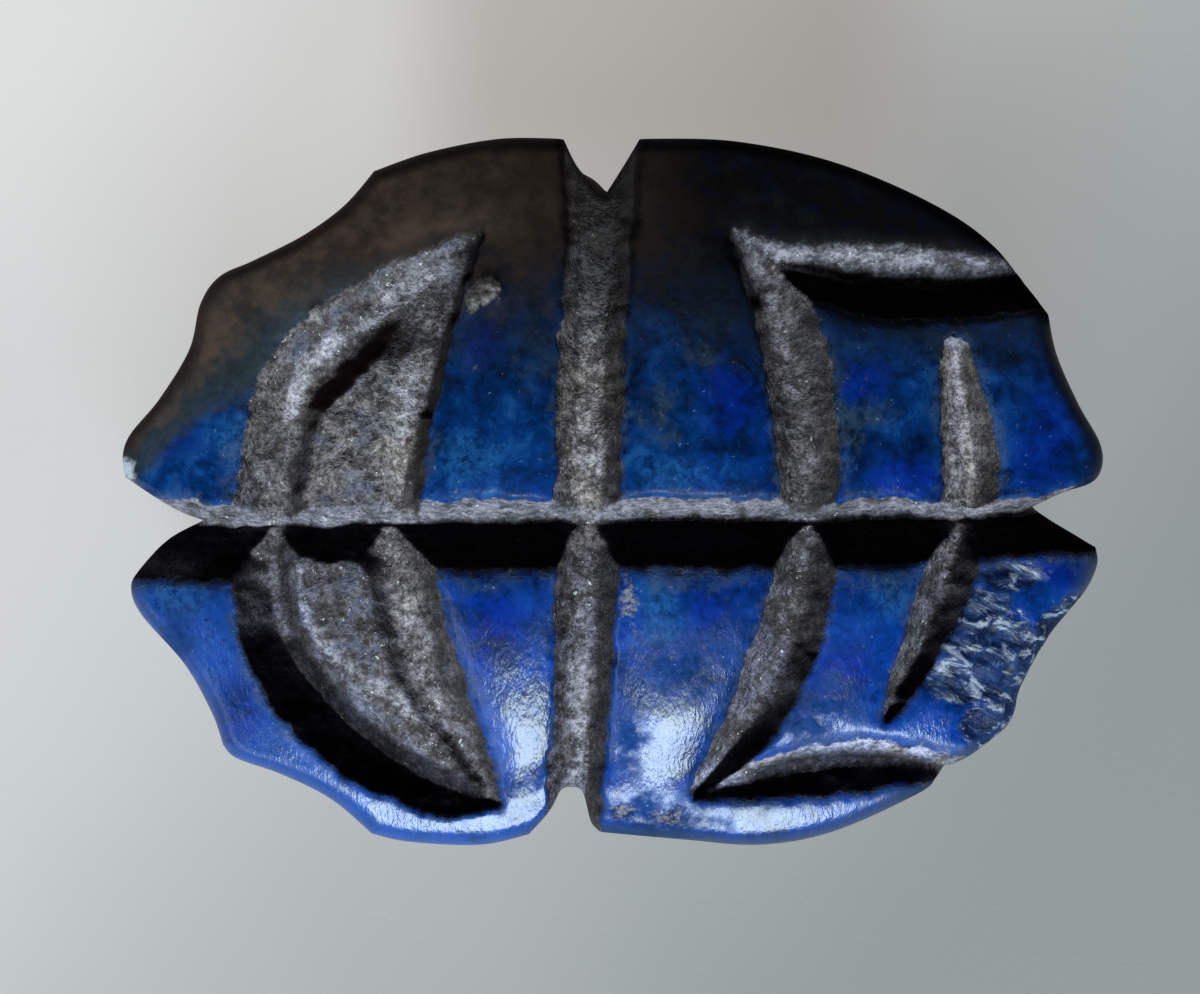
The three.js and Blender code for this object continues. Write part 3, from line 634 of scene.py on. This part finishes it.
# %% The bench on which a finish is put together
class Bench:
    """Builds the node tree of one finish."""

    def __init__(self, name):
        self.material = bpy.data.materials.new(name)
        self.material.use_nodes = True
        self.tree = self.material.node_tree
        self.tree.nodes.clear()

    def node(self, kind, settings=(), values=(), out=0):
        made = self.tree.nodes.new(kind)
        for name, value in dict(settings).items():
            if name == "stops":
                self.set_stops(made.color_ramp.elements, value)
            else:
                setattr(made, name, value)
        for name, value in dict(values).items():
            if isinstance(value, Tap):
                self.tree.links.new(value.socket, made.inputs[name])
            else:
                made.inputs[name].default_value = value
        return Tap(self, made.outputs[out]) if made.outputs else None

    @staticmethod
    def set_stops(elements, stops):
        while len(elements) < len(stops):
            elements.new(0.5)
        for element, (position, colour) in zip(elements, stops):
            element.position = position
            element.color = colour

    def maths(self, operation, first, second):
        return self.node("ShaderNodeMath", {"operation": operation}, {0: first, 1: second})

    def rise(self, value, start, end):
        """0 below start, 1 above end, and a soft slope between."""
        settings = {"interpolation_type": "SMOOTHSTEP"}
        return self.node("ShaderNodeMapRange", settings, {0: value, 1: start, 2: end})

    def blend(self, factor, first, second, how="MIX"):
        settings = {"data_type": "RGBA", "blend_type": how, "clamp_factor": True}
        return self.node("ShaderNodeMix", settings, {0: factor, 6: first, 7: second}, 2)

    def cloud(self, place, per_mm, detail=4.0, rough=0.55, warp=0.0):
        values = {"Vector": place, "Scale": per_mm, "Detail": detail, "Roughness": rough,
                  "Distortion": warp}
        return self.node("ShaderNodeTexNoise", (), values)

    def mask(self, name):
        return self.node("ShaderNodeAttribute", {"attribute_name": name}, (), 2)

    def place(self):
        """The place in millimetres, whole and as its parts along X and along Y."""
        metres = self.node("ShaderNodeTexCoord", (), (), 3)
        spot = self.node("ShaderNodeVectorMath", {"operation": "SCALE"}, {0: metres, "Scale": 1 / MM})
        apart = self.node("ShaderNodeSeparateXYZ", (), {0: spot})
        along, across = (Tap(self, apart.socket.node.outputs[index]) for index in range(2))
        return spot, along, across

    def stretch(self, place, factors):
        return self.node("ShaderNodeVectorMath", {"operation": "MULTIPLY"}, {0: place, 1: factors})

    def coat(self, values):
        return self.node("ShaderNodeBsdfPrincipled", (), values)


# %% Colours as the eye names them
def tint(red, green, blue):
    """A colour given as the eye sees it, 0 to 255, turned into light values for the shader."""
    return tuple(((part / 255 + 0.055) / 1.055) ** 2.4 if part > 10 else part / 3294
                 for part in (red, green, blue)) + (1.0,)


print("middle grey as light:", round(tint(128, 128, 128)[0], 3))


# %% [markdown]
# ## The finish of the stone
# Layers lie over each other: the blue of the blocks, a film of age, crusts, the frosted grooves and the
# broken face. Separate materials would meet in hard lines, so it is one material, and each layer is a
# function that returns a colour. All layers read the same clouds, so that their borders break up in the
# same places, as they do on one old stone.


# %% What every layer reads
def read_stone(bench):
    """Places, clouds from slow to fine, the masks kept by the mesh, and how far each layer covers."""
    spot, along, across = bench.place()
    at = SimpleNamespace(along=along, across=across, **{name: bench.mask(name) for name in MASKS})
    at.slow = bench.cloud(spot, 0.8, 3, 0.6)
    at.patch = bench.cloud(spot, 2.6, 4, 0.65)
    at.fine = bench.cloud(spot, 6.5, 3, 0.7)
    at.grit = bench.cloud(spot, 12.0, 2, 0.8)
    # white grains painted as glints
    at.glint = bench.rise(bench.cloud(spot, 13.0, 1, 0.5, 1.0), 0.7, 0.77)
    at.large = bench.cloud(spot, 0.5, 3, 0.6, 0.6)
    at.small = bench.cloud(spot, 1.7, 5, 0.7, 0.4)
    at.streaks = bench.cloud(bench.stretch(spot, (1.0, 0.35, 1.0)), 12.0, 2, 0.6)
    turned = bench.node("ShaderNodeVectorRotate", (), {"Vector": spot, "Angle": -SCAR_SLANT})
    at.splinter = bench.cloud(bench.stretch(turned, (0.3, 1.0, 1.0)), 4.6, 5, 0.68, 0.5)
    at.ridge = bench.rise(at.splinter, 0.51, 0.66)
    at.grains = bench.rise(at.patch * 0.2 + at.fine * 0.4 + at.grit * 0.4, 0.39, 0.64)

    # the same clouds about zero, to break up a border
    at.patchy, at.speckled = at.patch - 0.5, at.fine - 0.5
    at.stained = bench.rise(at.stain * 0.8 + at.patchy * 1.4 + at.speckled * 0.4, 0.2, 0.9)
    at.crusted = bench.rise(at.crust + at.patchy * 1.4 + at.speckled * 0.9, 0.45, 0.9)
    at.aged = bench.rise(at.film + at.patchy * 0.6 - bench.rise(along, -4.5, -6.5) * 0.13, 0.5, 0.95)
    at.in_groove = bench.rise(at.carved + at.patchy * 0.3 + at.speckled * 0.2, 0.05, 0.15 + at.aged * 0.3)
    at.on_block = 1 - at.in_groove
    at.scarred = bench.rise(at.scar + at.patchy * 0.9, 0.15, 0.7) * at.on_block
    at.lip = bench.rise(at.near + at.patchy * 0.3, 0.8, 1.0)
    return at


# %% [markdown]
# ## Lapis blue
# Lapis is a rock of many grains, so its blue is never even: royal blue clouds drift into navy. One
# noise would look like dyed cloth. Two clouds of different size run through two colour ramps, one for
# each half of the stone, and patches of purer or paler blue lie over them. The near half, which faces the
# window, is brighter and its lower left paler, as painted light; the far half is darker, as painted shade.


# %% The blue of the blocks
def lapis_blue(bench, at):
    """Royal blue clouds in navy: greener on the far half and darker there as painted shade, more violet on
    the near half and paler there as painted light.
    """
    mix = at.large * 0.45 + at.small * 0.55
    # the near ramp is brighter, painted light on the half that faces the window; the far ramp is darker,
    # painted shade
    lit_near_stops = [(0.36, (0.001, 0.016, 0.09, 1)), (0.46, (0.001, 0.036, 0.22, 1)),
                  (0.54, (0.003, 0.052, 0.36, 1)), (0.66, (0.012, 0.1, 0.48, 1))]
    shaded_far_stops = [(0.4, (0.001, 0.006, 0.026, 1)), (0.47, (0.001, 0.022, 0.1, 1)),
                 (0.54, (0.002, 0.045, 0.22, 1)), (0.62, (0.014, 0.1, 0.33, 1))]
    near, far = (bench.node("ShaderNodeValToRGB", {"stops": stops}, {0: mix})
                 for stops in (lit_near_stops, shaded_far_stops))
    cloudy = at.small - 0.5
    # painted light: paler blue on the lower left, which faces the window
    lit_pale = bench.rise(0 - at.along - at.across * 1.3 + cloudy * 14, 6.5, 12.0)
    near = bench.blend(lit_pale * 0.5, near, (0.028, 0.125, 0.55, 1))
    blue = bench.blend(bench.rise(at.across + (at.large - 0.5) * 14, -2.5, 1.5), near, far)
    deep = bench.blend(bench.rise(at.small, 0.4, 0.62), (0.0008, 0.008, 0.1, 1), (0.001, 0.018, 0.32, 1))
    blue = bench.blend(bench.rise(at.royal + cloudy * 1.6, 0.2, 1.0) * 0.65, blue, deep)
    light = bench.blend(bench.rise(at.fine, 0.38, 0.62), (0.004, 0.05, 0.19, 1), (0.02, 0.13, 0.38, 1))
    blue = bench.blend(bench.rise(at.azure + cloudy * 1.4, 0.35, 0.9) * 0.7, blue, light)
    flecks = bench.rise(at.fine * 0.6 + at.patch * 0.4, 0.45, 0.35)
    return bench.blend(flecks * 0.6, blue, (0.002, 0.01, 0.035, 1))


def scuff_and_stain(bench, at, blue):
    """Scuffs beside the grooves, dull stains (grey-green far, navy near) and a few white specks painted as
    glints.
    """
    worn = bench.rise(at.near * 0.3 + at.slow * 0.6 + at.patch * 0.4 + at.fine * 0.5, 0.92, 1.15)
    worn = worn * (1 - bench.rise(at.film, 0.3, 0.6)) * 0.5
    blue = bench.blend(worn, blue, bench.blend(at.grit, (0.02, 0.035, 0.07, 1), (0.12, 0.17, 0.27, 1)))
    mottle = bench.rise(at.fine * 0.5 + at.patch * 0.5, 0.42, 0.6)
    grey_green = bench.blend(mottle, (0.004, 0.013, 0.03, 1), (0.04, 0.07, 0.11, 1))
    navy = bench.blend(mottle, (0.003, 0.014, 0.07, 1), (0.025, 0.07, 0.2, 1))
    dull = bench.blend(bench.rise(at.across, -0.5, -2.5), grey_green, navy)
    blue = bench.blend(at.stained * 0.7, blue, dull)
    # white specks painted as glints
    return bench.blend(at.glint * bench.rise(at.patch, 0.5, 0.58) * 0.6, blue, (0.3, 0.4, 0.55, 1))


# %% [markdown]
# ## Age on the blocks
# Handling and burial left a thin film on the flank behind: brown on the left, black on the right and
# olive where it thins out. It is a colour over the blue rather than a shell of its own, because it has
# no thickness that shows. Crusts are chalky, and the rim is scuffed where the stone touches others;
# the far rim is painted dark as shade, and a white glint is painted on the left tip.


# %% The film of age
def film_of_age(bench, at, blue):
    """The blue darkened towards the far flank, then an olive border, then the film itself, brown on the
    left and black on the right.
    """
    umber = (0.014, 0.01, 0.009, 1)
    brown = bench.blend(bench.rise(at.along + (at.slow - 0.5) * 8, -5.0, 0.5),
                        (0.148, 0.09, 0.067, 1), (0.046, 0.027, 0.019, 1))
    black = bench.blend(bench.rise(at.slow, 0.48, 0.62), (0.003, 0.003, 0.004, 1), (0.018, 0.019, 0.017, 1))
    black = bench.blend(bench.rise(at.patch, 0.5, 0.62) * 0.5, black, (0.003, 0.01, 0.035, 1))
    film = bench.blend(bench.rise(at.along + at.patchy * 3, 0.2, 2.2), brown, black)
    film = bench.blend(bench.rise(at.patch * 0.6 + at.slow * 0.4, 0.6, 0.36) * 0.6, film, umber)
    film = bench.blend(bench.rise(at.near, 0.55, 1.0) * 0.7, film, (0.012, 0.01, 0.009, 1))
    # the blue grows darker towards the far flank
    darker_far = bench.rise(at.film + (at.slow - 0.5) * 0.7, 0.12, 0.7)
    skin = bench.blend(darker_far * 0.75, blue, (0.004, 0.009, 0.02, 1))
    border = bench.rise(at.film + at.patchy * 0.5, 0.22, 0.5)
    border = border * (0.2 + bench.rise(at.along, -2.0, -4.5) * 0.8)
    olive = bench.blend(at.fine, (0.012, 0.02, 0.024, 1), (0.085, 0.098, 0.096, 1))
    skin = bench.blend(border * 0.75, skin, olive)
    return bench.blend(at.aged, skin, film)


def crust_and_rim(bench, at, skin):
    """Chalky crusts, a painted white glint on the left tip, and dull wear along the near rim with painted
    shade along the far rim.
    """
    chalk = bench.blend(bench.rise(at.grit * 0.5 + at.fine * 0.5, 0.42, 0.62),
                        (0.02, 0.03, 0.055, 1), (0.42, 0.37, 0.36, 1))
    skin = bench.blend(at.crusted * 0.7, skin, chalk)
    # a painted white glint on the worn left tip
    tip_glint = at.crusted * bench.rise(at.along + at.speckled * 0.5, -8.5, -9.05)
    skin = bench.blend(tip_glint, skin, (0.82, 0.88, 1, 1))
    # the rim: dull wear on the near side, painted shade on the far side
    edge_wear_and_shade = bench.blend(bench.rise(at.across, -1.5, 0.5),
                            (0.028, 0.05, 0.1, 1), (0.004, 0.008, 0.02, 1))
    rim_wear_and_shade = at.rim * (0.55 + at.patch * 0.5) * (0.4 + bench.rise(at.along, -2.0, 1.0) * 0.6)
    return bench.blend(rim_wear_and_shade * (1 - at.crusted), skin, edge_wear_and_shade)


# %% [markdown]
# ## The frosted grooves
# Grooves were ground with a wheel and wet sand, which leaves tiny pits. They scatter light, so a groove
# in blue stone looks grey. Modelled pits would take millions of faces; noise does for the grains, in
# colour here and in relief below. Dirt lies where hands never reach. Walls that face the window and
# high lines are painted pale as light, and walls that face away are painted dark as shade.


# %% The frosted grooves
def frosted_grooves(bench, at):
    """Grey grit in brown dirt, paler where dust lies, painted pale on walls facing the window and on lit
    crests, with painted shade in the crease and on walls facing left.
    """
    dirt = bench.blend(bench.rise(at.slow * 0.6 + at.patch * 0.4, 0.42, 0.58),
                       (0.1, 0.085, 0.1, 1), (0.125, 0.078, 0.055, 1))
    frost = bench.blend(at.grains, bench.blend(0.55, dirt, (0.016, 0.012, 0.013, 1)),
                        bench.blend(0.65, dirt, (0.46, 0.4, 0.46, 1)))

    # dust, painted light on walls facing the window, and the painted highlight along the lit crest
    far_half = bench.rise(at.across, -0.3, 0.5) * bench.rise(at.across, 5.2, 4.3)
    dust = bench.blend(bench.rise(at.slow, 0.42, 0.58), (0.85, 0.73, 0.8, 1), (0.75, 0.62, 0.56, 1))
    powder = bench.rise(at.dust + at.patchy * 1.1 + at.speckled * 0.6, 0.1, 1.0)
    frost = bench.blend(far_half * 0.25 + powder * 0.8, frost,
                        bench.blend(at.grains, (0.13, 0.105, 0.1, 1), dust))
    lit_paler = bench.blend(at.grains, (0.1, 0.092, 0.115, 1), (0.46, 0.42, 0.52, 1))
    # painted light on walls that face the window
    frost = bench.blend(at.rubbed * (0.4 + at.slow * 0.7), frost, lit_paler)
    tawny = bench.blend(at.grains, (0.045, 0.034, 0.028, 1), (0.26, 0.215, 0.2, 1))
    frost = bench.blend(at.slope * 0.6, frost, tawny)
    # painted highlight along the lit crest and the other lit lines
    crest_highlight = bench.blend(at.grains, (0.26, 0.23, 0.26, 1), (0.95, 0.83, 0.93, 1))
    frost = bench.blend(bench.rise(at.crest + at.patchy * 0.9, 0.25, 0.95) * 0.85, frost, crest_highlight)

    # brown dirt in the hollows, and a colder grey on the near half
    hollows = bench.rise(at.slow * 0.4 + at.patch * 0.6, 0.54, 0.38)
    frost = bench.blend(hollows * 0.65, frost, (0.034, 0.022, 0.017, 1))
    # painted shade along the crease of the upper crescent, whose wall faces away from the light
    crease = bench.rise(at.crease + at.patchy * 0.7, 0.25, 0.85)
    frost = bench.blend(crease * 0.8, frost, (0.03, 0.019, 0.016, 1))
    cold = bench.rise(at.across, -0.5, -2.5) * bench.rise(at.slow + at.patchy * 0.5, 0.42, 0.56)
    cold = cold * (1 - bench.rise(at.along, -5.2, -4.2) * bench.rise(at.along, -1.5, -2.5) * 0.8)
    frost = bench.blend(cold, frost, (0.94, 1.01, 1.24, 1), "MULTIPLY")
    # white grains painted as glints
    frost = bench.blend(at.glint, frost, (0.95, 0.95, 0.95, 1))
    cross_end = bench.rise(bench.maths("ABSOLUTE", at.along + 0.3, 0), 1.5, 0.7)
    frost = bench.blend(at.aged * cross_end * 0.75, frost, (0.035, 0.027, 0.022, 1))
    # painted brown shade on walls that face left, away from the light
    return bench.blend(at.brown * 0.75, frost, (0.03, 0.021, 0.018, 1))


# %% The broken face
def broken_face(bench, at):
    """Dark splintery blue with white ridges that slant down to the right."""
    raw = bench.blend(bench.rise(at.patch, 0.4, 0.6), (0.003, 0.009, 0.035, 1), (0.01, 0.036, 0.13, 1))
    return bench.blend(at.ridge, raw, (0.5, 0.53, 0.66, 1))


# %% [markdown]
# ## Polish, relief and lost light
# Even a rough coat shines a little at a flat angle, but old dirt gives nothing back. So three coats
# are mixed: a polished one, a matte one with hardly any shine, and a black one with none, which is painted
# shade on walls, floors and the far rim that face away from the window, and soot on the film. Where each
# lies comes from the same masks as the colours.


# %% Polish and fine relief
def polish(bench, at):
    """How rough each place is: worn polish on the blocks, frosted grooves, dull film and crusts."""
    rough = 0.22 + at.in_groove * 0.34 + at.patchy * 0.15 + at.aged * 0.32 + at.scarred * 0.15
    rough = rough + bench.rise(at.near, 0.5, 1.0) * 0.12 + at.crusted * 0.2 + at.stained * 0.15
    return rough + at.lip * 0.3 + at.rim * 0.2


def fine_relief(bench, at):
    """Brushed streaks on the blocks, grit in the grooves, chewed lips, splinters in the scar."""
    gritty = at.grit - 0.5
    height = (at.streaks - 0.5) * 0.26 + at.speckled * 0.5 * at.in_groove + gritty * at.in_groove * 0.4
    height = height + at.patchy * at.in_groove * 0.9 + gritty * at.lip * 0.8
    height = height + at.splinter * at.scarred * 1.2 + gritty * at.crusted * 0.5
    return bench.node("ShaderNodeBump", (), {"Strength": 0.8, "Distance": 0.05 * MM, "Height": height})


# %% The dull places, and the black places of painted shade and soot
def dull_share(bench, at):
    """Where the polish is gone: film, stains, crusts, the floor of the scar, and the far lips."""
    dulled = at.aged * 0.8 + at.stained * 1.1 + at.crusted * 0.8 + at.scarred * (1 - at.ridge) * 0.5
    beside = bench.rise(at.near + at.patchy * 0.25, 0.55, 0.8) * bench.rise(at.carved, 0.4, 0.1)
    return dulled * at.on_block + beside * bench.rise(at.across, -1.2, -0.6) * 0.9


def shade_and_soot_share(bench, at):
    """Where the black coat lies: painted shade on walls facing away from the window, on shaded groove
    floors and along the far rim, and a darker film, more on the right.
    """
    shade = bench.rise(at.lee * 1.15 + at.patchy * 0.35 + at.speckled * 0.25, 0.05, 0.95)
    # painted shade on the groove floors that lie in shadow
    shaded_floors = bench.rise(at.gloom + at.patchy * 0.5, 0.25, 0.9) * 0.85
    shade = bench.maths("MAXIMUM", shade, shaded_floors) * at.in_groove * 0.96
    right = bench.rise(at.along, 0.0, 2.5)
    # the film darker still, more on the right
    shade = shade + at.aged * at.on_block * (0.12 + right * 0.2 + at.lip * 0.1)
    # painted shade along the far rim
    return shade + at.rim * bench.rise(at.across, -0.3, 1.0) * (0.3 + right * 0.2) * (1 - at.crusted)


# %% The whole stone
def stone_finish():
    bench = Bench("lapis_lazuli")
    at = read_stone(bench)
    blue = scuff_and_stain(bench, at, lapis_blue(bench, at))
    skin = crust_and_rim(bench, at, film_of_age(bench, at, blue))
    colour = bench.blend(at.in_groove, skin, frosted_grooves(bench, at))

    # blue left on the high parts of the rough rib, and crumbs of grit stuck on the stone
    colour = bench.blend(at.rib * bench.rise(at.patch, 0.5, 0.62) * 0.5, colour, (0.05, 0.08, 0.16, 1))
    stuck_grit = bench.blend(at.grains, (0.09, 0.075, 0.07, 1), (0.45, 0.4, 0.38, 1))
    colour = bench.blend(bench.rise(at.crumb + at.speckled * 0.5, 0.3, 0.55), colour, stuck_grit)
    colour = bench.blend(at.scarred * 0.9, colour, broken_face(bench, at))

    # polished and matte coats in the stone's own colour, and a black coat of painted shade and soot
    relief = fine_relief(bench, at)
    polished = bench.coat({"Base Color": colour, "Roughness": polish(bench, at), "IOR": 1.5,
                           "Normal": relief})
    matte = bench.coat({"Base Color": colour, "Roughness": 0.9, "Specular IOR Level": 0.08,
                        "Normal": relief})
    # the black coat: brownish under the film on the upper left, near black elsewhere
    tar_and_shade = bench.blend(bench.rise(at.across, 0.3, 0.8) * bench.rise(at.along, -3.0, -4.0),
                      (0.005, 0.004, 0.006, 1), (0.022, 0.012, 0.012, 1))
    soot_and_shade = bench.coat({"Base Color": tar_and_shade, "Roughness": 0.95, "Specular IOR Level": 0.0})
    surface = bench.node("ShaderNodeMixShader", (), {0: dull_share(bench, at), 1: polished, 2: matte})
    surface = bench.node("ShaderNodeMixShader", (), {0: shade_and_soot_share(bench, at), 1: surface, 2: soot_and_shade})
    bench.node("ShaderNodeOutputMaterial", (), {0: surface})
    return bench.material


mesh.materials.append(stone_finish())
print("finish nodes", len(mesh.materials[0].node_tree.nodes))


# %% [markdown]
# ## The table, the light and the camera
# A carved face shows best under light from one side. A bare lamp would draw hard edges and pinpoint
# glints, so a large soft window stands low on the near side, with a little fill from the left: walls
# that face the window are lit, walls that face away stay dark, and the worn polish takes a long soft
# glint. The pale table glows and carries painted light, brighter on the left, and a painted soft
# shadow beyond the stone; the camera looks straight down.


# %% Table
def table_finish():
    bench = Bench("glowing_pale_table")
    spot, along, across = bench.place()
    way = along - across * 0.8 + (bench.cloud(spot, 0.12, 2) - 0.5) * 3
    # painted light: the table is lighter towards the top and left, darker towards the right and bottom
    lit_pale = bench.blend(bench.rise(across, 1.0, 9.0), tint(211, 211, 210), tint(226, 225, 224))
    colour = bench.blend(bench.rise(way, -12.0, 3.0), lit_pale, tint(176, 178, 177))
    colour = bench.blend(bench.rise(way, 0.0, 14.0), colour, tint(146, 150, 151))
    # a painted soft shadow, warm and darker, on the far side of the stone
    colour = bench.blend(bench.rise(across, 3.0, 8.0) * 0.5 * bench.rise(along, -5.0, -2.0)
                         * bench.rise(along, 7.0, 4.0), colour, tint(166, 157, 148))
    speckle = bench.cloud(spot, 9.0, 2)
    bump = bench.node("ShaderNodeBump", (), {"Strength": 0.2, "Distance": 0.03 * MM, "Height": speckle})
    # the table glows in its own colour, painted light besides the lamps
    top = bench.coat({"Base Color": bench.blend(0.75, colour, (0, 0, 0, 1)), "Roughness": 0.6,
                      "Normal": bump, "Emission Color": colour, "Emission Strength": 0.8})
    bench.node("ShaderNodeOutputMaterial", (), {0: top})
    return bench.material


TABLE_HALF = 0.25
slab = bmesh.new()
bmesh.ops.create_grid(slab, x_segments=8, y_segments=8, size=TABLE_HALF)
table_mesh = bpy.data.meshes.new("table")
slab.to_mesh(table_mesh)
slab.free()
table = bpy.data.objects.new("table", table_mesh)
bpy.context.collection.objects.link(table)
table_mesh.materials.append(table_finish())
table.location.z = -0.02 * MM  # a hair under the stone, so the two faces never lie in one plane
print("table, mm across:", 2 * TABLE_HALF / MM)


# %% Light
def soft_light(name, elevation, azimuth, distance, size, watts):
    """A soft box that faces the stone; azimuth 0 stands on the near side (-Y)."""
    lamp = bpy.data.lights.new(name, "AREA")
    lamp.shape = "RECTANGLE"
    lamp.size, lamp.size_y = size
    lamp.energy = watts
    lamp.color = (0.77, 0.95, 1.0)
    holder = bpy.data.objects.new(name, lamp)
    bpy.context.collection.objects.link(holder)
    rise, turn = math.radians(elevation), math.radians(azimuth)
    away = Vector((math.sin(turn) * math.cos(rise), -math.cos(turn) * math.cos(rise), math.sin(rise)))
    holder.location = away * distance
    holder.rotation_euler = away.to_track_quat("Z", "Y").to_euler()
    return holder


soft_light("window", 42, 1, 0.2, (0.13, 0.05), 0.46)
soft_light("pale_wall", 32, -50, 0.2, (0.12, 0.07), 0.06)
world = bpy.data.worlds.new("room")
world.use_nodes = True
world.node_tree.nodes["Background"].inputs[0].default_value = (0.55, 0.58, 0.62, 1)
world.node_tree.nodes["Background"].inputs[1].default_value = 0.015
bpy.context.scene.world = world
bpy.context.scene.view_settings.view_transform = "Standard"
print("lights:", [light.name for light in bpy.data.lights])

# %% Camera
VIEW_WIDTH = 22.2 * MM  # what the frame takes in across the stone's widest line
VIEW_DISTANCE = 90 * MM
GIRDLE = (SHOULDER - SHOULDER_ROUND) * MM
AIM = (offset.x - 0.23, offset.y - 0.12)
eye = bpy.data.cameras.new("camera")
eye.sensor_width = 36
eye.lens = eye.sensor_width * VIEW_DISTANCE / VIEW_WIDTH
eye.clip_start = 1 * MM
eye.clip_end = 5
camera = bpy.data.objects.new("camera", eye)
camera.location = (AIM[0] * MM, AIM[1] * MM, GIRDLE + VIEW_DISTANCE)
bpy.context.collection.objects.link(camera)
bpy.context.scene.camera = camera
print("lens, mm:", round(eye.lens, 1))

# %% Finish
bpy.context.view_layer.update()
